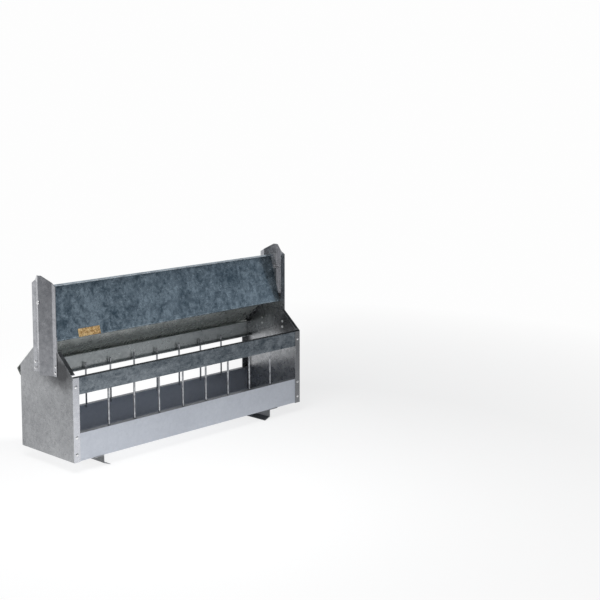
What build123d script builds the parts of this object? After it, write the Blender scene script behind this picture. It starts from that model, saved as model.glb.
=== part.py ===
from build123d import *

import os
from math import atan, cos, hypot, radians, sin, tan

# Poultry trough feeder in folded galvanised sheet.
# X runs along the trough, -Y is the feeding side with the lid, +Z is up.
# The origin is on the floor, under the middle of the trough. The lid is drawn open.

# ---------------------------------------------------------------- driving sizes (mm)
LENGTH = 500.0              # outside of one end panel to outside of the other
DEPTH = 140.0               # front to back over the end panels
SHEET = 0.8                 # sheet thickness
FOLD_RADIUS = 0.6           # inside radius of a sharp fold
FOOT_HEIGHT = 17.0          # floor to the underside of the trough
EAVE_HEIGHT = 133.0         # trough underside to the eave corner of an end panel
ROOF_PITCH = 41.0           # slope of both shoulders, degrees
LIP_HEIGHT = 45.0           # trough underside to the top of the trough walls
LIP_WIDTH = 9.0             # inward lip on the trough walls

RAIL_HEIGHT = 27.0
RAIL_TOP = 132.0            # trough underside to the top of a rail
RAIL_TOP_LIP = 8.0
RAIL_BOTTOM_LIP = 10.0

FLANGE_WIDTH = 12.0         # upright and bottom flanges of an end panel
SHOULDER_FLANGE = 7.5       # flange that carries the roof and the lid
SHOULDER_MITRE = 4.0        # how far the shoulder flange stops short of the eave
NECK_TOP = 190.0            # trough underside to the top of an end panel, behind the post
OUTER_FOLD_RADIUS = 0.72    # outside radius of an end panel's folds

POST_HALF_WIDTH = 31.0
POST_FLAT = 9.0             # width of each flat side flange of a post
POST_BULGE = 10.5           # how far the middle fold stands out
POST_BOTTOM = 128.0         # all three from the trough underside
POST_SIDE_TOP = 268.5
POST_PEAK = 284.0
POST_PEAK_HALF = 5.0

STOP_ROD_HEIGHT = 242.0     # trough underside to the rod's axis
STOP_ROD_RADIUS = 2.0
STOP_HEAD_RADIUS = 3.2
STOP_HEAD_HEIGHT = 1.4
STOP_HEAD_ROUND = 1.1

BAR_COUNT = 8
BAR_PITCH = 51.0
BAR_RADIUS = 1.6
BAR_INSET = 6.0             # bar axis to the outside of the end panel flange
BAR_INTO_LIP = 6.0          # how far a bar reaches below the trough lip
BAR_INTO_RAIL = 11.0        # how far a bar reaches above the rail's bottom lip
BAR_CHAMFER = 0.4

HINGE_PIN_RADIUS = 1.5
PIN_CLEARANCE = 0.08        # running fit of the curl on its pin
CURL_SWEEP = 240.0          # how far the lid's curl goes round the pin, degrees
LID_LENGTH = 85.5           # hinge axis to the outer fold of the lid
LID_FLANGE = 7.5
LID_FLANGE_FOLD = 115.0     # fold angle of the lid's stiffening flange, degrees
LID_SIDE_GAP = 0.7          # lid end to end panel
LID_REST_GAP = 0.3          # lid to stop rod when open, and to shoulder when closed
HINGE_SLOPE_PLACE = 15.6    # how far in front of the ridge the hinge sits

ROOF_OVERHANG = 10.0        # roof beyond the back of the end panels
DRIP_FLANGE = 12.8
RIDGE_RISE_END = 1.5        # Y of the ridge fold
RIDGE_FRONT_END = -11.0     # Y where the fixed roof stops, just behind the hinge

FOOT_LEFT_PLACE = 193.0      # middle of the trough to the left foot's upright web
FOOT_RIGHT_PLACE = 172.0     # and to the right foot's, which is set further in
FOOT_TOP_FLANGE = 20.0
FOOT_LIP = 12.0             # horizontal reach of the splayed bottom lip
FOOT_LIP_DROP = 4.5

RIVET_RADIUS = 1.5
RIVET_HEAD_RADIUS = 2.7
RIVET_HEAD_HEIGHT = 1.1
RIVET_DOME_MID = (1.8, 0.8) # a point half-way along the head's dome
RIVET_TAIL_RADIUS = 2.2
RIVET_TAIL_HEIGHT = 0.7
RIVET_BORE_DEPTH = 8.0
CORNER_RIVET_X = 244.0
CORNER_RIVET_HEIGHTS = (12.0, 39.0, 118.0)
POST_RIVET_Y = 26.5
POST_RIVET_HEIGHTS = (134.0, 144.0)
FOOT_RIVET_Y = 45.0
ROOF_RIVET_X = 245.5
ROOF_RIVET_Y = (42.0, 60.0)

LABEL_SIZE = (42.0, 13.0, 0.3)
LABEL_CENTRE = (-179.0, 5.0)   # X, and distance from the hinge axis along the lid

# ---------------------------------------------------------------- worked-out sizes
BASE = FOOT_HEIGHT
HALF_LENGTH = LENGTH / 2
HALF_DEPTH = DEPTH / 2
PANEL_INSIDE = HALF_LENGTH - SHEET
WALL_OUTSIDE = HALF_DEPTH - SHEET
PITCH_SIN = sin(radians(ROOF_PITCH))
PITCH_COS = cos(radians(ROOF_PITCH))
PITCH_TAN = tan(radians(ROOF_PITCH))
RIDGE_Z = BASE + EAVE_HEIGHT + HALF_DEPTH * PITCH_TAN
BAR_Y = HALF_DEPTH - BAR_INSET
BAR_XS = [BAR_PITCH * (index - (BAR_COUNT - 1) / 2) for index in range(BAR_COUNT)]

CURL_INSIDE = HINGE_PIN_RADIUS + PIN_CLEARANCE
CURL_OUTSIDE = CURL_INSIDE + SHEET
HINGE_LIFT = LID_REST_GAP + CURL_OUTSIDE
HINGE_Y = -HINGE_SLOPE_PLACE - HINGE_LIFT * PITCH_SIN
HINGE_Z = RIDGE_Z - HINGE_SLOPE_PLACE * PITCH_TAN + HINGE_LIFT * PITCH_COS

# The open lid's back face stops just clear of the stop rod, which sets its lean.
ROD_Z = BASE + STOP_ROD_HEIGHT
ROD_DISTANCE = hypot(HINGE_Y, ROD_Z - HINGE_Z)
ROD_ANGLE = atan(-HINGE_Y / (ROD_Z - HINGE_Z))
ROD_OFFSET = STOP_ROD_RADIUS + LID_REST_GAP - CURL_INSIDE
LID_LEAN = ROD_ANGLE - ROD_OFFSET / ROD_DISTANCE


def shoulder_height(y):
    """Height of the shoulder line of an end panel at a distance y from the middle."""
    return RIDGE_Z - abs(y) * PITCH_TAN


def strip_outline(points, side):
    """Closed outline of a folded strip: the given line, thickened to one side."""
    with BuildLine() as strip:
        FilletPolyline(*points, radius=FOLD_RADIUS)
        offset(amount=SHEET, side=side)
    return strip.line


def save(builder, name):
    builder.part.label = name
    export_step(builder.part, f"parts/{name}.step")


os.makedirs("parts", exist_ok=True)

# ---------------------------------------------------------------- rivet places
# Each place is a frame whose +Z points out of the sheet, at the head's seat.
corner_seats = [
    Plane(
        origin=(x_side * CORNER_RIVET_X, y_side * HALF_DEPTH, BASE + height),
        z_dir=(0, y_side, 0),
    ).location
    for x_side in (-1, 1)
    for y_side in (-1, 1)
    for height in CORNER_RIVET_HEIGHTS
]
post_seats = [
    Plane(
        origin=(x_side * (HALF_LENGTH + SHEET), y_side * POST_RIVET_Y, BASE + height),
        z_dir=(x_side, 0, 0),
    ).location
    for x_side in (-1, 1)
    for y_side in (-1, 1)
    for height in POST_RIVET_HEIGHTS
]
foot_seats = [
    Plane(origin=(x, y_side * FOOT_RIVET_Y, BASE), z_dir=(0, 0, -1)).location
    for x in (-FOOT_LEFT_PLACE - FOOT_TOP_FLANGE / 2, FOOT_RIGHT_PLACE + FOOT_TOP_FLANGE / 2)
    for y_side in (-1, 1)
]
roof_seats = [
    Plane(
        origin=(
            x_side * ROOF_RIVET_X,
            y + SHEET * PITCH_SIN,
            shoulder_height(y) + SHEET * PITCH_COS,
        ),
        x_dir=(1, 0, 0),
        z_dir=(0, PITCH_SIN, PITCH_COS),
    ).location
    for x_side in (-1, 1)
    for y in ROOF_RIVET_Y
]


def bore_rivet_holes(seats):
    """Clear the shank of every rivet through the part being built."""
    with Locations(*seats):
        Cylinder(RIVET_RADIUS, RIVET_BORE_DEPTH, mode=Mode.SUBTRACT)


# ---------------------------------------------------------------- rivet
with BuildPart() as rivet:
    grip = 2 * SHEET
    with BuildSketch(Plane.XZ):
        with BuildLine():
            Polyline(
                (RIVET_HEAD_RADIUS, 0),
                (RIVET_RADIUS, 0),
                (RIVET_RADIUS, -grip),
                (RIVET_TAIL_RADIUS, -grip),
                (RIVET_TAIL_RADIUS, -grip - RIVET_TAIL_HEIGHT),
                (0, -grip - RIVET_TAIL_HEIGHT),
                (0, RIVET_HEAD_HEIGHT),
            )
            ThreePointArc(
                (0, RIVET_HEAD_HEIGHT),
                RIVET_DOME_MID,
                (RIVET_HEAD_RADIUS, 0),
            )
        make_face()
    revolve(axis=Axis.Z)

# ---------------------------------------------------------------- end panels
neck_side = shoulder_height(POST_HALF_WIDTH)
with BuildPart() as end_panel_left:
    with BuildSketch(Plane.YZ.offset(-HALF_LENGTH)):
        with BuildLine():
            Polyline(
                (-HALF_DEPTH, BASE),
                (HALF_DEPTH, BASE),
                (HALF_DEPTH, BASE + EAVE_HEIGHT),
                (POST_HALF_WIDTH, neck_side),
                (POST_HALF_WIDTH, BASE + NECK_TOP),
                (-POST_HALF_WIDTH, BASE + NECK_TOP),
                (-POST_HALF_WIDTH, neck_side),
                (-HALF_DEPTH, BASE + EAVE_HEIGHT),
                close=True,
            )
        make_face()
    extrude(amount=SHEET)
    # upright flanges over the ends of the pan and rails, the bottom flange under the pan
    with BuildSketch(Plane.YZ.offset(-PANEL_INSIDE)):
        for y_side in (-1, 1):
            with Locations((y_side * (HALF_DEPTH - SHEET / 2), BASE + RAIL_TOP / 2)):
                Rectangle(SHEET, RAIL_TOP)
        with Locations((0, BASE + SHEET / 2)):
            Rectangle(DEPTH, SHEET)
    extrude(amount=FLANGE_WIDTH - SHEET)
    # shoulder flanges, mitred back from the eave
    with BuildSketch(Plane.YZ.offset(-PANEL_INSIDE)):
        for y_side in (-1, 1):
            low = HALF_DEPTH - SHOULDER_MITRE
            high = POST_HALF_WIDTH
            drop = SHEET / PITCH_COS
            with BuildLine():
                Polyline(
                    (y_side * low, shoulder_height(low)),
                    (y_side * high, shoulder_height(high)),
                    (y_side * high, shoulder_height(high) - drop),
                    (y_side * low, shoulder_height(low) - drop),
                    close=True,
                )
            make_face()
    extrude(amount=SHOULDER_FLANGE - SHEET)
    fillet(
        end_panel_left.faces().sort_by(Axis.X)[0].edges()
        .filter_by(lambda edge: edge.center().Z < neck_side - SHEET),
        radius=OUTER_FOLD_RADIUS,
    )
    bore_rivet_holes(corner_seats)
    bore_rivet_holes(post_seats)
    bore_rivet_holes(roof_seats)
    with Locations(Plane.YZ.location * Location((HINGE_Y, HINGE_Z, -HALF_LENGTH))):
        Cylinder(HINGE_PIN_RADIUS, RIVET_BORE_DEPTH, mode=Mode.SUBTRACT)

with BuildPart() as end_panel_right:
    mirror(end_panel_left.part, about=Plane.YZ)

save(end_panel_left, "end_panel_left")
save(end_panel_right, "end_panel_right")

# ---------------------------------------------------------------- trough pan
# A U of sheet with inward lips, closed at its ends by the end panels.
pan_low = BASE + SHEET
pan_top = BASE + LIP_HEIGHT
with BuildPart() as trough_pan:
    with BuildSketch(Plane.YZ):
        make_face(
            strip_outline(
                [
                    (-WALL_OUTSIDE + LIP_WIDTH, pan_top),
                    (-WALL_OUTSIDE, pan_top),
                    (-WALL_OUTSIDE, pan_low),
                    (WALL_OUTSIDE, pan_low),
                    (WALL_OUTSIDE, pan_top),
                    (WALL_OUTSIDE - LIP_WIDTH, pan_top),
                ],
                Side.LEFT,
            )
        )
    extrude(amount=PANEL_INSIDE, both=True)
    bore_rivet_holes(corner_seats)
    bore_rivet_holes(foot_seats)
    with Locations(*[(x, side * BAR_Y, pan_top) for x in BAR_XS for side in (-1, 1)]):
        Cylinder(BAR_RADIUS, 2 * BAR_INTO_LIP, mode=Mode.SUBTRACT)
save(trough_pan, "trough_pan")

# ---------------------------------------------------------------- rails
# A channel of sheet between the end panels, inside their upright flanges.
rail_low = BASE + RAIL_TOP - RAIL_HEIGHT
rail_high = BASE + RAIL_TOP
with BuildPart() as front_rail:
    with BuildSketch(Plane.YZ):
        make_face(
            strip_outline(
                [
                    (-WALL_OUTSIDE + RAIL_TOP_LIP, rail_high),
                    (-WALL_OUTSIDE, rail_high),
                    (-WALL_OUTSIDE, rail_low),
                    (-WALL_OUTSIDE + RAIL_BOTTOM_LIP, rail_low),
                ],
                Side.LEFT,
            )
        )
    extrude(amount=PANEL_INSIDE, both=True)
    bore_rivet_holes(corner_seats)
    with Locations(*[(x, -BAR_Y, rail_low) for x in BAR_XS]):
        Cylinder(BAR_RADIUS, 2 * BAR_INTO_LIP, mode=Mode.SUBTRACT)

with BuildPart() as back_rail:
    mirror(front_rail.part, about=Plane.XZ)

save(front_rail, "front_rail")
save(back_rail, "back_rail")

# ---------------------------------------------------------------- bars
bar_low = pan_top - BAR_INTO_LIP
bar_high = rail_low + BAR_INTO_RAIL
for row, y_side in (("front", -1), ("back", 1)):
    for number, x in enumerate(BAR_XS, start=1):
        with BuildPart() as bar:
            with BuildSketch(Plane.XY.offset(bar_low)):
                with Locations((x, y_side * BAR_Y)):
                    Circle(BAR_RADIUS)
            extrude(amount=bar_high - bar_low)
            chamfer(bar.edges().filter_by(GeomType.CIRCLE), length=BAR_CHAMFER)
        save(bar, f"{row}_bar_{number}")

# ---------------------------------------------------------------- fixed back roof
roof_edge_y = HALF_DEPTH + ROOF_OVERHANG
roof_edge_z = shoulder_height(roof_edge_y)
with BuildPart() as roof_sheet:
    with BuildSketch(Plane.YZ):
        make_face(
            strip_outline(
                [
                    (
                        roof_edge_y - DRIP_FLANGE * PITCH_SIN,
                        roof_edge_z - DRIP_FLANGE * PITCH_COS,
                    ),
                    (roof_edge_y, roof_edge_z),
                    (RIDGE_RISE_END, shoulder_height(RIDGE_RISE_END)),
                    (RIDGE_FRONT_END, shoulder_height(RIDGE_FRONT_END)),
                ],
                Side.RIGHT,
            )
        )
    extrude(amount=PANEL_INSIDE, both=True)
    bore_rivet_holes(roof_seats)
save(roof_sheet, "roof_sheet")

# ---------------------------------------------------------------- lid
# Drawn in the lid's own frame: X from the hinge axis to the free edge, Y to the side that
# faces the feeder when the lid is shut.
lid_half = PANEL_INSIDE - LID_SIDE_GAP
lid_section = Plane(
    origin=(0, HINGE_Y, HINGE_Z),
    x_dir=(0, sin(LID_LEAN), cos(LID_LEAN)),
    z_dir=(1, 0, 0),
)
fold = radians(LID_FLANGE_FOLD)
with BuildPart() as lid:
    with BuildSketch(lid_section):
        make_face(
            strip_outline(
                [
                    (0, CURL_OUTSIDE),
                    (LID_LENGTH, CURL_OUTSIDE),
                    (
                        LID_LENGTH + LID_FLANGE * cos(fold),
                        CURL_OUTSIDE + LID_FLANGE * sin(fold),
                    ),
                ],
                Side.RIGHT,
            )
        )
        # the hinge curl, left open towards the lid so that the pin can be threaded
        with BuildLine():
            outer_arc = CenterArc((0, 0), CURL_OUTSIDE, 90, CURL_SWEEP)
            inner_arc = CenterArc((0, 0), CURL_INSIDE, 90, CURL_SWEEP)
            Line(outer_arc @ 0, inner_arc @ 0)
            Line(outer_arc @ 1, inner_arc @ 1)
        make_face()
    extrude(amount=lid_half, both=True)
save(lid, "lid")

# A plain sticker on the inside of the lid.
label_width, label_height, label_thickness = LABEL_SIZE
with BuildPart() as label_plate:
    with BuildSketch(Plane(
        origin=(
            LABEL_CENTRE[0],
            HINGE_Y - CURL_OUTSIDE * cos(LID_LEAN) + LABEL_CENTRE[1] * sin(LID_LEAN),
            HINGE_Z + CURL_OUTSIDE * sin(LID_LEAN) + LABEL_CENTRE[1] * cos(LID_LEAN),
        ),
        x_dir=(1, 0, 0),
        z_dir=(0, -cos(LID_LEAN), sin(LID_LEAN)),
    )):
        Rectangle(label_width, label_height)
    extrude(amount=label_thickness)
save(label_plate, "label_plate")

# ---------------------------------------------------------------- hinge pin
with BuildPart() as hinge_pin:
    with BuildSketch(Plane.YZ):
        with Locations((HINGE_Y, HINGE_Z)):
            Circle(HINGE_PIN_RADIUS)
    extrude(amount=HALF_LENGTH + SHEET, both=True)
save(hinge_pin, "hinge_pin")

# ---------------------------------------------------------------- end posts
# A folded strip: two flat flanges on the end panel and a V between them, cut to a gable.
with BuildPart() as post_left:
    with BuildSketch(Plane.XY.offset(BASE + POST_BOTTOM)):
        make_face(
            strip_outline(
                [
                    (-HALF_LENGTH, POST_HALF_WIDTH),
                    (-HALF_LENGTH, POST_HALF_WIDTH - POST_FLAT),
                    (-HALF_LENGTH - POST_BULGE, 0),
                    (-HALF_LENGTH, -POST_HALF_WIDTH + POST_FLAT),
                    (-HALF_LENGTH, -POST_HALF_WIDTH),
                ],
                Side.RIGHT,
            )
        )
    extrude(amount=POST_PEAK - POST_BOTTOM)
    # the gable outline, through the whole depth of the section
    with BuildSketch(Plane.YZ.offset(-HALF_LENGTH - 2 * POST_BULGE)):
        with BuildLine():
            Polyline(
                (-POST_HALF_WIDTH, BASE + POST_BOTTOM),
                (POST_HALF_WIDTH, BASE + POST_BOTTOM),
                (POST_HALF_WIDTH, BASE + POST_SIDE_TOP),
                (POST_PEAK_HALF, BASE + POST_PEAK),
                (-POST_PEAK_HALF, BASE + POST_PEAK),
                (-POST_HALF_WIDTH, BASE + POST_SIDE_TOP),
                close=True,
            )
        make_face()
    extrude(amount=4 * POST_BULGE, mode=Mode.INTERSECT)
    bore_rivet_holes(post_seats)
    with Locations(Plane.YZ.location * Location((0, ROD_Z, -HALF_LENGTH))):
        Cylinder(STOP_ROD_RADIUS, 4 * POST_BULGE, mode=Mode.SUBTRACT)

with BuildPart() as post_right:
    mirror(post_left.part, about=Plane.YZ)

save(post_left, "post_left")
save(post_right, "post_right")

# ---------------------------------------------------------------- stop rod
# Runs through both posts behind the open lid, with a formed head at each end.
rod_half = HALF_LENGTH + POST_BULGE + SHEET
with BuildPart() as stop_rod:
    with BuildSketch(Plane.YZ):
        with Locations((0, ROD_Z)):
            Circle(STOP_ROD_RADIUS)
    extrude(amount=rod_half, both=True)
    for side in (-1, 1):
        with BuildSketch(Plane.YZ.offset(side * rod_half)):
            with Locations((0, ROD_Z)):
                Circle(STOP_HEAD_RADIUS)
        extrude(amount=side * STOP_HEAD_HEIGHT)
    fillet(
        stop_rod.edges().filter_by(GeomType.CIRCLE).group_by(SortBy.RADIUS)[-1]
        .filter_by(lambda edge: abs(edge.center().X) > rod_half + STOP_HEAD_HEIGHT / 2),
        radius=STOP_HEAD_ROUND,
    )
save(stop_rod, "stop_rod")

# ---------------------------------------------------------------- feet
# A Z of sheet: top flange outwards under the pan, upright web, splayed lip inwards.
# The lip's lower corner is what stands on the floor.
lip_end_z = SHEET * FOOT_LIP / hypot(FOOT_LIP, FOOT_LIP_DROP)
with BuildPart() as foot_left:
    with BuildSketch(Plane.XZ):
        make_face(
            strip_outline(
                [
                    (-FOOT_LEFT_PLACE - FOOT_TOP_FLANGE, BASE + SHEET),
                    (-FOOT_LEFT_PLACE, BASE + SHEET),
                    (-FOOT_LEFT_PLACE, lip_end_z + FOOT_LIP_DROP),
                    (-FOOT_LEFT_PLACE + FOOT_LIP, lip_end_z),
                ],
                Side.RIGHT,
            )
        )
    extrude(amount=HALF_DEPTH, both=True)
    bore_rivet_holes(foot_seats)

with BuildPart() as foot_right:
    with Locations((FOOT_RIGHT_PLACE - FOOT_LEFT_PLACE, 0, 0)):
        add(mirror(foot_left.part, about=Plane.YZ, mode=Mode.PRIVATE))

save(foot_left, "foot_left")
save(foot_right, "foot_right")

# ---------------------------------------------------------------- rivet groups
for name, seats in (
    ("corner_rivets", corner_seats),
    ("post_rivets", post_seats),
    ("foot_rivets", foot_seats),
    ("roof_rivets", roof_seats),
):
    with BuildPart() as group:
        with Locations(*seats):
            add(rivet.part)
    save(group, name)
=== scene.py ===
from math import cos, radians, sin

import bpy
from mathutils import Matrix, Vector


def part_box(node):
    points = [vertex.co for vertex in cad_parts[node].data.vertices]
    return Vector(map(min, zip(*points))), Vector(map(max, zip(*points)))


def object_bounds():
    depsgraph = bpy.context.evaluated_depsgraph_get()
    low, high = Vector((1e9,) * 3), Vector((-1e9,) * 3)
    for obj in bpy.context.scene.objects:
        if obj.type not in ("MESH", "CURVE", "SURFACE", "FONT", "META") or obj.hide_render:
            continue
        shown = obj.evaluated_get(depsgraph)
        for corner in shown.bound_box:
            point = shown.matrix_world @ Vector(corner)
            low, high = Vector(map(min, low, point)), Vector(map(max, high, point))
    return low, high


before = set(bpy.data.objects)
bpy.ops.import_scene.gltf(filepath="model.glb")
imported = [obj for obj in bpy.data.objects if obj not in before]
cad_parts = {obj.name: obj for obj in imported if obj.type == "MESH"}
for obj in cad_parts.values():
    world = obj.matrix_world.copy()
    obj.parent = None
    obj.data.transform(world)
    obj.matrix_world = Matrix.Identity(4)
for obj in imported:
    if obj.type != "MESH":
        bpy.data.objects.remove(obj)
cad_low, cad_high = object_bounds()

# ------------------------------------------------------------------ view and light
CAMERA_PLACE = Vector((-1.294, -1.537, 0.585))
CAMERA_YAW = radians(46.47)       # turned from +Y towards +X
CAMERA_PITCH = radians(6.27)      # looking down
CAMERA_LENS = 71.5                # mm, on a 36 mm sensor
CAMERA_SHIFT_Y = -0.133

FLOOR_HALF = 30.0
FLOOR_COLOUR = (0.82, 0.82, 0.82)
BACKDROP_LEVEL = 0.985
FLOOR_FADE_START = 0.4            # from the middle of the object, in metres
FLOOR_FADE_END = 1.3
FLOOR_FADE_LEAST = 0.70           # how far the floor is faded even right under the object
FLOOR_GLOW = 0.57                 # the floor shines like a light table, most at the front left
FLOOR_GLOW_CENTRE = (-0.25, -0.30, 0.0)
FLOOR_GLOW_START = 0.16           # from the middle of the glow, in metres
FLOOR_GLOW_END = 0.75
FLOOR_GLOW_LEAST = 0.04
FLOOR_GLOW_BEHIND = 0.60          # its level behind the object, however far away

STUDIO_LEVEL = 0.13               # light from all round, and below it what each side adds
BEHIND_LEVEL = 0.68
OVERHEAD_LEVEL = 0.8
FRONT_RIGHT_LEVEL = 0.30
FRONT_RIGHT = (0.66, -0.74)       # its direction, seen from above
STUDIO_TINT = (0.95, 0.97, 1.0)
FRONT_RIGHT_TINT = (0.74, 0.86, 1.0)

KEY_PLACE = Vector((-0.50, -0.30, 1.25))
KEY_SIZE = 0.9
KEY_POWER = 7.0

# ------------------------------------------------------------------ shared material values
WHITE = (1.0, 1.0, 1.0)
MIDDLE_GREY = (0.5, 0.5, 0.5)
# painted shade where sheets meet
CORNER_SHADE_COLOUR = (0.05, 0.052, 0.055)
CORNER_SHADE_DISTANCE = 0.022             # how near sheets have to be for the painted corner shade, in metres
# painted dark reflection on faces that look up, above a given height
TOP_SHADE_COLOUR = (0.07, 0.075, 0.08)
# painted shadow: a dark smear on each end panel at the post's lower front corner
POST_SHADOW_COLOUR = (0.06, 0.062, 0.066)
POST_SHADOW_DEPTH = 0.95
POST_SHADOW_AHEAD = 0.008               # its middle, from the post's lower front corner, in metres
POST_SHADOW_ABOVE = 0.010
POST_SHADOW_REACH = (0.020, 0.048, 0.036)
EDGE_TINT_RADIUS = 0.0011              # reach of the edge tint at folds and cut edges: wear, painted shade on the posts, a painted highlight on the lid
FLAKE_HEIGHT = 0.00025            # relief of the zinc crystals


def make_camera():
    data = bpy.data.cameras.new("camera")
    data.lens = CAMERA_LENS
    data.shift_y = CAMERA_SHIFT_Y
    data.clip_start = 0.05
    data.clip_end = 50.0
    camera = bpy.data.objects.new("camera", data)
    bpy.context.scene.collection.objects.link(camera)
    forward = Vector((
        sin(CAMERA_YAW) * cos(CAMERA_PITCH),
        cos(CAMERA_YAW) * cos(CAMERA_PITCH),
        -sin(CAMERA_PITCH),
    ))
    camera.location = CAMERA_PLACE
    camera.rotation_mode = "QUATERNION"
    camera.rotation_quaternion = forward.to_track_quat("-Z", "Y")
    bpy.context.scene.camera = camera


def make_area_light(name, place, size, power, target):
    data = bpy.data.lights.new(name, "AREA")
    data.shape = "DISK"
    data.size = size
    data.energy = power
    light = bpy.data.objects.new(name, data)
    bpy.context.scene.collection.objects.link(light)
    light.visible_camera = False
    light.location = place
    light.rotation_mode = "QUATERNION"
    light.rotation_quaternion = (target - place).to_track_quat("-Z", "Y")


class Nodes:
    """A small helper for building one node tree."""

    def __init__(self, tree):
        self.tree = tree
        tree.nodes.clear()

    def add(self, kind, inputs=None, **settings):
        node = self.tree.nodes.new(kind)
        for key, value in settings.items():
            setattr(node, key, value)
        for key, value in (inputs or {}).items():
            self.feed(node.inputs[key], value)
        return node

    def feed(self, socket, value):
        if isinstance(value, bpy.types.NodeSocket):
            self.tree.links.new(value, socket)
        else:
            socket.default_value = value

    def math(self, operation, first, second=0.0, third=0.0):
        inputs = {0: first, 1: second, 2: third}
        return self.add("ShaderNodeMath", inputs, operation=operation).outputs[0]

    def blend(self, factor, first, second):
        node = self.add("ShaderNodeMix", data_type="RGBA")
        self.feed(node.inputs["Factor"], factor)
        self.feed(node.inputs["A"], first)
        self.feed(node.inputs["B"], second)
        return node.outputs["Result"]

    def spread(self, value, low, high, to_low=0.0, to_high=1.0):
        inputs = {
            "Value": value, "From Min": low, "From Max": high, "To Min": to_low, "To Max": to_high,
        }
        return self.add("ShaderNodeMapRange", inputs, clamp=True).outputs[0]


def colour4(colour):
    return (*colour, 1.0)


def new_material(name):
    """A material with an empty node tree, and where each point is on the object."""
    material = bpy.data.materials.new(name)
    material.use_nodes = True
    n = Nodes(material.node_tree)
    return material, n, n.add("ShaderNodeTexCoord").outputs["Object"]


def make_world():
    """A soft studio: bright behind the object and overhead, cool at the front right.

    The camera itself sees a plain backdrop in place of it.
    """
    world = bpy.data.worlds.new("studio")
    bpy.context.scene.world = world
    world.use_nodes = True
    n = Nodes(world.node_tree)
    direction = n.add("ShaderNodeTexCoord").outputs["Generated"]
    x, y, up = n.add("ShaderNodeSeparateXYZ", {"Vector": direction}).outputs
    not_high = n.spread(up, 0.40, 0.85, 1.0, 0.0)
    behind = n.math("MULTIPLY", n.spread(y, 0.30, 0.75), not_high)
    low_down = n.spread(up, 0.10, 0.45, 1.0, 0.0)
    front_right = n.math("MULTIPLY", y, FRONT_RIGHT[1])
    front_right = n.math("MULTIPLY_ADD", x, FRONT_RIGHT[0], front_right)
    front_right = n.math("MULTIPLY", n.spread(front_right, 0.55, 0.95), low_down)
    overhead = n.spread(up, 0.80, 1.0)
    level = n.math("MULTIPLY_ADD", behind, BEHIND_LEVEL, STUDIO_LEVEL)
    level = n.math("MULTIPLY_ADD", overhead, OVERHEAD_LEVEL, level)
    level = n.math("MULTIPLY_ADD", front_right, FRONT_RIGHT_LEVEL, level)
    tint = n.blend(front_right, colour4(STUDIO_TINT), colour4(FRONT_RIGHT_TINT))
    studio = n.add("ShaderNodeBackground", {"Color": tint, "Strength": level})
    backdrop = n.add("ShaderNodeBackground", {"Color": colour4(WHITE), "Strength": BACKDROP_LEVEL})
    seen = n.add("ShaderNodeLightPath").outputs["Is Camera Ray"]
    shown = n.add("ShaderNodeMixShader", {0: seen, 1: studio.outputs[0], 2: backdrop.outputs[0]})
    n.add("ShaderNodeOutputWorld", {"Surface": shown.outputs[0]})


def make_floor():
    """A pale floor that melts into the backdrop away from the object, and shines upwards."""
    material, n, place = new_material("floor")
    matt = n.add("ShaderNodeBsdfDiffuse", {"Color": colour4(FLOOR_COLOUR)})
    backdrop = n.add("ShaderNodeEmission", {"Color": colour4(WHITE), "Strength": BACKDROP_LEVEL})
    reach = n.add("ShaderNodeVectorMath", {0: place}, operation="LENGTH").outputs["Value"]
    fade = n.spread(reach, FLOOR_FADE_START, FLOOR_FADE_END, FLOOR_FADE_LEAST, 1.0)
    seen = n.add("ShaderNodeLightPath").outputs["Is Camera Ray"]
    y_part = n.add("ShaderNodeSeparateXYZ", {"Vector": place}).outputs[1]
    behind = n.spread(n.math("DIVIDE", y_part, reach), 0.40, 0.70)
    glow_reach = n.add("ShaderNodeVectorMath", {0: place, 1: FLOOR_GLOW_CENTRE}, operation="DISTANCE")
    glow_reach = glow_reach.outputs["Value"]
    near_glow = n.spread(glow_reach, FLOOR_GLOW_START, FLOOR_GLOW_END, FLOOR_GLOW, FLOOR_GLOW_LEAST)
    glow_level = n.math("MAXIMUM", near_glow, n.math("MULTIPLY", behind, FLOOR_GLOW_BEHIND))
    glow = n.add("ShaderNodeEmission", {"Color": colour4(WHITE), "Strength": glow_level})
    lit = n.add("ShaderNodeAddShader", {0: matt.outputs[0], 1: glow.outputs[0]})
    faded = n.math("MULTIPLY", fade, seen)
    surface = n.add("ShaderNodeMixShader", {0: faded, 1: lit.outputs[0], 2: backdrop.outputs[0]})
    n.add("ShaderNodeOutputMaterial", {"Surface": surface.outputs[0]})
    mesh = bpy.data.meshes.new("floor")
    corners = [(x, y, cad_low.z) for x, y in ((-1, -1), (1, -1), (1, 1), (-1, 1))]
    mesh.from_pydata([(x * FLOOR_HALF, y * FLOOR_HALF, z) for x, y, z in corners], [], [(0, 1, 2, 3)])
    mesh.materials.append(material)
    floor = bpy.data.objects.new("floor", mesh)
    bpy.context.scene.collection.objects.link(floor)


# ------------------------------------------------------------------ materials
def finish_material(n, body, metallic, gloss, height, strength, distance):
    """Close a node tree: a surface of this colour and gloss, with a fine relief on it."""
    bump = n.add("ShaderNodeBump", {"Height": height, "Strength": strength, "Distance": distance})
    surface = n.add("ShaderNodeBsdfPrincipled", {
        "Base Color": body, "Metallic": metallic, "Roughness": gloss, "Normal": bump.outputs[0],
    })
    n.add("ShaderNodeOutputMaterial", {"Surface": surface.outputs[0]})


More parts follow.
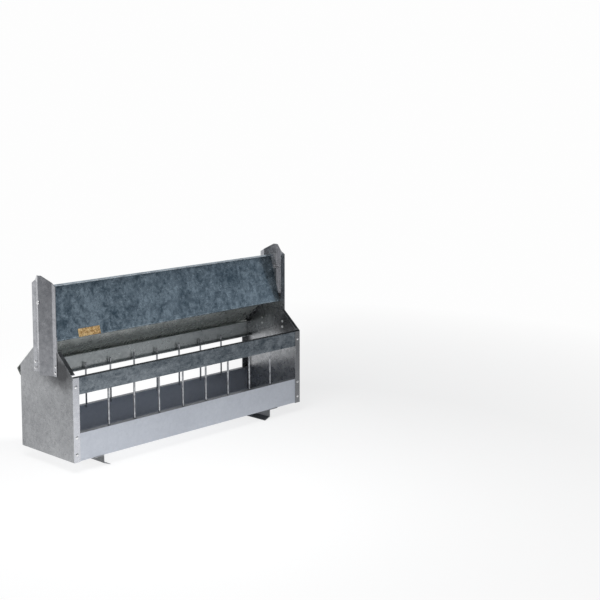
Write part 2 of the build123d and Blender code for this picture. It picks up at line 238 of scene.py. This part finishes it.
def galvanised(
    name,
    dark,
    light,
    spangle,
    cloud,
    roughness,
    spangle_contrast=0.5,
    cloud_contrast=0.5,
    streak=(1.0, 1.0, 1.0),
    roughness_spread=0.12,
    flake_bump=0.35,
    metallic=0.85,
    rub_strength=0.22,
    corner_shade=0.35,
    painted_dark_tops_above=None,
    flange_reflection=None,
    edge_tint=(0.80, 0.82, 0.84),
    edge_wear_and_painted_light=0.8,
    painted_shadow_places=(),
    painted_shadow_reach=(1.0, 1.0, 1.0),
):
    """Hot-dip galvanised sheet: crystal spangle over cloudy zinc, with rubbed edges.

    spangle and cloud are the sizes of a crystal and of a cloud, in metres. streak squeezes
    the clouds along each axis, so a small number draws them out along it. Faces that look
    up, above a given height, are darkened in clouds: a painted dark reflection. A painted
    shadow, a dark smear, fades out around each given place, over a given reach along each
    axis. Faces that look forward or back take the flange zinc: a painted reflection. Where
    sheets meet, the zinc is darkened: painted shade.
    """
    material, n, place = new_material(name)

    # ragged crystal edges
    wander = n.add("ShaderNodeTexNoise", {"Vector": place, "Scale": 0.9 / spangle, "Detail": 3.0})
    wander = wander.outputs["Color"]
    shift = n.add("ShaderNodeVectorMath", {0: wander, 1: MIDDLE_GREY}, operation="SUBTRACT")
    shift = shift.outputs[0]
    shift = n.add("ShaderNodeVectorMath", {0: shift, "Scale": spangle * 1.1}, operation="SCALE")
    ragged = n.add("ShaderNodeVectorMath", {0: place, 1: shift.outputs[0]}, operation="ADD").outputs[0]
    crystals = n.add("ShaderNodeTexVoronoi", {"Vector": ragged, "Scale": 1 / spangle})
    fine = n.add("ShaderNodeTexVoronoi", {"Vector": ragged, "Scale": 2.7 / spangle})
    crystal = n.add("ShaderNodeSeparateColor", {"Color": crystals.outputs["Color"]})
    fleck = n.add("ShaderNodeSeparateColor", {"Color": fine.outputs["Color"]})
    grain = n.math("MULTIPLY_ADD", fleck.outputs[0], 0.35, n.math("MULTIPLY", crystal.outputs[0], 0.65))

    # clouds of brighter and duller zinc, drawn out along the way the sheet was rolled
    drawn = n.add("ShaderNodeMapping", {"Vector": place, "Scale": streak})
    clouds = n.add("ShaderNodeTexNoise", {
        "Vector": drawn.outputs[0], "Scale": 1 / cloud,
        "Detail": 5.0, "Roughness": 0.62, "Distortion": 0.4,
    })
    broad = n.add("ShaderNodeTexNoise", {
        "Vector": drawn.outputs[0], "Scale": 0.28 / cloud, "Detail": 2.0, "Roughness": 0.5,
    })
    mist = n.spread(clouds.outputs["Fac"], 0.32, 0.70)
    haze = n.spread(broad.outputs["Fac"], 0.30, 0.72)

    tone = n.math("MULTIPLY_ADD", n.math("SUBTRACT", grain, 0.5), spangle_contrast, 0.5)
    tone = n.math("MULTIPLY_ADD", n.math("SUBTRACT", mist, 0.5), cloud_contrast, tone)
    tone = n.math("MULTIPLY_ADD", n.math("SUBTRACT", haze, 0.5), cloud_contrast * 0.6, tone)
    tone = n.spread(tone, 0.0, 1.0)
    body = n.blend(tone, colour4(dark), colour4(light))

    # fine rubbing marks
    scratches = n.add("ShaderNodeMapping", {
        "Vector": place, "Scale": (30.0, 900.0, 900.0), "Rotation": (0.0, 0.06, 0.0),
    })
    rubbed = n.add("ShaderNodeTexNoise", {
        "Vector": scratches.outputs[0], "Scale": 1.0, "Detail": 4.0, "Roughness": 0.7,
    })
    rub = n.spread(rubbed.outputs["Fac"], 0.56, 0.74)
    body = n.blend(n.math("MULTIPLY", rub, rub_strength), body, colour4(edge_tint))

    # cut edges and folds take the edge's own tint, in patches: worn zinc with the usual tint, painted
    # shade along the folds with the posts' dark tint, a painted highlight with the lid's bright one
    soft = n.add("ShaderNodeBevel", {"Radius": EDGE_TINT_RADIUS}, samples=4).outputs[0]
    true = n.add("ShaderNodeNewGeometry").outputs["Normal"]
    agree = n.add("ShaderNodeVectorMath", {0: soft, 1: true}, operation="DOT_PRODUCT").outputs["Value"]
    patchy = n.spread(clouds.outputs["Fac"], 0.35, 0.6, 0.3 * edge_wear_and_painted_light, edge_wear_and_painted_light)
    edge = n.math("MULTIPLY", n.spread(agree, 0.999, 0.90), patchy)
    body = n.blend(edge, body, colour4(edge_tint))

    # painted shade: the zinc is darkened where sheets meet
    open_air = n.add("ShaderNodeAmbientOcclusion", {"Distance": CORNER_SHADE_DISTANCE}, samples=4).outputs["AO"]
    corner_shade_mask = n.math("MULTIPLY", n.spread(open_air, 0.30, 0.95, 1.0, 0.0), corner_shade)
    body = n.blend(corner_shade_mask, body, colour4(CORNER_SHADE_COLOUR))

    # painted shadow: a dark smear fades out around each given place
    for middle in painted_shadow_places:
        offset = n.add("ShaderNodeVectorMath", {0: place, 1: middle}, operation="SUBTRACT")
        offset = n.add(
            "ShaderNodeVectorMath", {0: offset.outputs[0], 1: painted_shadow_reach}, operation="DIVIDE"
        )
        far = n.add("ShaderNodeVectorMath", {0: offset.outputs[0]}, operation="LENGTH")
        far = far.outputs["Value"]
        far = n.math("MULTIPLY_ADD", n.math("SUBTRACT", clouds.outputs["Fac"], 0.5), 0.4, far)
        body = n.blend(n.spread(far, 0.35, 1.0, POST_SHADOW_DEPTH, 0.0), body, colour4(POST_SHADOW_COLOUR))

    facing = n.add("ShaderNodeTexCoord").outputs["Normal"]
    facing = n.add("ShaderNodeSeparateXYZ", {"Vector": facing}).outputs
    # painted reflection: faces that look forward or back take the given flange zinc
    if flange_reflection is not None:
        flange_reflection_mask = n.spread(n.math("ABSOLUTE", facing[1]), 0.80, 0.92, 0.0, 0.85)
        body = n.blend(flange_reflection_mask, body, colour4(flange_reflection))
    # painted dark reflection: faces that look up, above a given height, are darkened in clouds
    if painted_dark_tops_above is not None:
        height = n.add("ShaderNodeSeparateXYZ", {"Vector": place}).outputs[2]
        high_enough = n.math("GREATER_THAN", height, painted_dark_tops_above)
        painted_top_shade = n.math("MULTIPLY", n.spread(facing[2], 0.55, 0.74), high_enough)
        painted_top_shade = n.math("MULTIPLY", painted_top_shade, n.spread(clouds.outputs["Fac"], 0.3, 0.7, 0.92, 0.72))
        body = n.blend(painted_top_shade, body, colour4(TOP_SHADE_COLOUR))

    crystal_gloss = n.math("SUBTRACT", crystal.outputs[1], 0.5)
    gloss = n.math("MULTIPLY_ADD", crystal_gloss, roughness_spread, roughness)
    gloss = n.math("MULTIPLY_ADD", n.math("SUBTRACT", mist, 0.5), roughness_spread, gloss)
    gloss = n.math("MULTIPLY_ADD", rub, 0.45 * rub_strength, gloss)

    ripple = n.add("ShaderNodeTexNoise", {"Vector": place, "Scale": 0.8 / spangle, "Detail": 2.0})
    relief = n.math("MULTIPLY", ripple.outputs["Fac"], 0.5)
    relief = n.math("MULTIPLY_ADD", clouds.outputs["Fac"], 0.5, relief)
    finish_material(n, body, metallic, gloss, relief, flake_bump, FLAKE_HEIGHT)
    return material


def drawn_wire(name):
    """Bright zinc-plated wire with fine drawing lines along its length."""
    material, n, place = new_material(name)
    along = n.add("ShaderNodeMapping", {"Vector": place, "Scale": (2600.0, 2600.0, 60.0)})
    lines = n.add("ShaderNodeTexNoise", {"Vector": along.outputs[0], "Scale": 1.0, "Detail": 3.0})
    patches = n.add("ShaderNodeTexNoise", {"Vector": place, "Scale": 140.0, "Detail": 4.0})
    dull = n.spread(patches.outputs["Fac"], 0.40, 0.70)
    body = n.blend(dull, (0.46, 0.47, 0.49, 1.0), (0.22, 0.23, 0.245, 1.0))
    body = n.blend(n.spread(lines.outputs["Fac"], 0.45, 0.70, 0.0, 0.4), body, (0.66, 0.67, 0.69, 1.0))
    gloss = n.math("MULTIPLY_ADD", dull, 0.18, 0.26)
    finish_material(n, body, 1.0, gloss, lines.outputs["Fac"], 0.3, 0.00006)
    return material


def rivet_metal(name):
    """Aluminium rivet heads, bright, with small dents and duller patches."""
    material, n, place = new_material(name)
    dents = n.add("ShaderNodeTexNoise", {"Vector": place, "Scale": 900.0, "Detail": 3.0})
    patches = n.add("ShaderNodeTexNoise", {"Vector": place, "Scale": 260.0, "Detail": 2.0})
    dull = n.spread(patches.outputs["Fac"], 0.4, 0.65)
    body = n.blend(dull, (0.90, 0.90, 0.90, 1.0), (0.66, 0.66, 0.67, 1.0))
    gloss = n.spread(dents.outputs["Fac"], 0.3, 0.7, 0.20, 0.42)
    finish_material(n, body, 1.0, gloss, dents.outputs["Fac"], 0.35, 0.0001)
    return material


def sticker_film(name):
    """A blank golden film with rubbed patches."""
    material, n, place = new_material(name)
    wear = n.add("ShaderNodeTexNoise", {
        "Vector": place, "Scale": 320.0, "Detail": 4.0, "Roughness": 0.65,
    })
    creases = n.add("ShaderNodeTexNoise", {"Vector": place, "Scale": 90.0, "Detail": 2.0})
    kept = n.spread(wear.outputs["Fac"], 0.42, 0.60)
    body = n.blend(kept, (0.40, 0.20, 0.05, 1.0), (0.98, 0.72, 0.36, 1.0))
    gloss = n.spread(wear.outputs["Fac"], 0.35, 0.65, 0.32, 0.55)
    finish_material(n, body, 0.0, gloss, creases.outputs["Fac"], 0.4, 0.0006)
    return material


def paint(material, *nodes):
    for node in nodes:
        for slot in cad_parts[node].material_slots:
            slot.material = material


make_camera()
make_world()
make_floor()
centre = (cad_low + cad_high) / 2
make_area_light("key", KEY_PLACE, KEY_SIZE, KEY_POWER, centre)
bpy.context.scene.view_settings.view_transform = "Standard"

# painted shadow: a dark smear round the lower front corner of each post, where it meets the end panel
post_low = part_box("post_left")[0]
panel_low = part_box("end_panel_left")[0]
post_shadow_y = post_low.y - POST_SHADOW_AHEAD
post_shadow_z = post_low.z + POST_SHADOW_ABOVE
POST_SHADOW_PLACES = [(side * abs(panel_low.x), post_shadow_y, post_shadow_z) for side in (-1, 1)]
# heights above which faces that look up are darkened, a painted dark reflection
RAIL_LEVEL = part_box("front_rail")[0].z
LIP_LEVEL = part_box("front_bar_1")[0].z

# painted light on the end panels: forward and back faces take light zinc on the left panel and dark
# zinc on the right, lit and shaded copies of one sheet (painted reflection); besides this, painted
# shade in corners, darkened tops above the rail and a painted shadow below each post
for side, flange_reflection in (("left", (0.66, 0.67, 0.71)), ("right", (0.26, 0.265, 0.275))):
    panel_zinc = galvanised(
        "panel_zinc_" + side, (0.24, 0.245, 0.255), (0.49, 0.495, 0.505),
        spangle=0.004, spangle_contrast=0.38, cloud=0.012, cloud_contrast=0.38, roughness=0.30,
        corner_shade=0.6, painted_dark_tops_above=RAIL_LEVEL, flake_bump=0.2,
        flange_reflection=flange_reflection, painted_shadow_places=POST_SHADOW_PLACES, painted_shadow_reach=POST_SHADOW_REACH,
    )
    paint(panel_zinc, "end_panel_" + side)
# painted shade along the folds: the posts' dark edge tint draws folds and cut edges as dark lines
post_zinc = galvanised(
    "post_zinc", (0.29, 0.295, 0.315), (0.57, 0.575, 0.60),
    spangle=0.005, spangle_contrast=0.45, cloud=0.014, cloud_contrast=0.5, roughness=0.20,
    edge_tint=(0.16, 0.16, 0.17),
)
# painted dark reflection on the pan's lip: its faces that look up, above the lip level, are darkened
trough_zinc = galvanised(
    "trough_zinc", (0.50, 0.53, 0.59), (0.64, 0.67, 0.73),
    spangle=0.005, spangle_contrast=0.4, cloud=0.05, cloud_contrast=0.5, streak=(0.35, 1.0, 1.0),
    roughness=0.33, roughness_spread=0.03, metallic=0.5, flake_bump=0.1, rub_strength=0.0,
    corner_shade=0.0, edge_wear_and_painted_light=0.0, painted_dark_tops_above=LIP_LEVEL,
)
# painted dark reflection: the front rail's zinc is darker than the sheet's own, and its top lip is
# darkened above the rail level
rail_zinc = galvanised(
    "rail_zinc", (0.075, 0.097, 0.118), (0.30, 0.335, 0.365),
    spangle=0.004, spangle_contrast=0.5, cloud=0.010, cloud_contrast=0.75, streak=(0.5, 1.0, 1.0),
    roughness=0.26, edge_wear_and_painted_light=0.4, painted_dark_tops_above=RAIL_LEVEL,
)
# painted light: the back rail's zinc is lighter than the sheet's own, offsetting the shade it sits in
# under the lid and roof
back_rail_zinc = galvanised(
    "back_rail_zinc", (0.46, 0.50, 0.50), (0.76, 0.79, 0.79),
    spangle=0.004, spangle_contrast=0.4, cloud=0.012, cloud_contrast=0.5, streak=(0.5, 1.0, 1.0),
    roughness=0.34, metallic=0.6, flake_bump=0.15, corner_shade=0.1, edge_wear_and_painted_light=0.4,
)
# painted reflection: the lid's dark blue clouding is partly the zinc's own mottle and partly a painted
# reflection; its bright edge tint paints a highlight along the hem, over real wear
lid_zinc = galvanised(
    "lid_zinc", (0.105, 0.155, 0.195), (0.50, 0.605, 0.675),
    spangle=0.0035, spangle_contrast=0.75, cloud=0.011, cloud_contrast=0.80, streak=(1.0, 0.7, 0.7),
    roughness=0.20, edge_tint=(0.88, 0.89, 0.92), edge_wear_and_painted_light=1.0,
)
roof_zinc = galvanised(
    "roof_zinc", (0.48, 0.50, 0.47), (0.66, 0.69, 0.66),
    spangle=0.006, spangle_contrast=0.2, cloud=0.030, cloud_contrast=0.35, streak=(0.3, 1.0, 1.0),
    roughness=0.30, metallic=0.6, flake_bump=0.01, rub_strength=0.05, corner_shade=0.0, edge_wear_and_painted_light=0.3,
)
foot_zinc = galvanised(
    "foot_zinc", (0.20, 0.205, 0.21), (0.42, 0.43, 0.44),
    spangle=0.005, cloud=0.02, roughness=0.40,
)
wire = drawn_wire("wire")
bars = [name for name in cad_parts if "_bar_" in name]
rivets = [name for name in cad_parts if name.endswith("_rivets")]

paint(post_zinc, "post_left", "post_right")
paint(trough_zinc, "trough_pan")
paint(rail_zinc, "front_rail")
paint(back_rail_zinc, "back_rail")
paint(lid_zinc, "lid")
paint(roof_zinc, "roof_sheet")
paint(foot_zinc, "foot_left", "foot_right")
paint(wire, "hinge_pin", *bars)
paint(rivet_metal("rivet_metal"), "stop_rod", *rivets)
paint(sticker_film("sticker_film"), "label_plate")
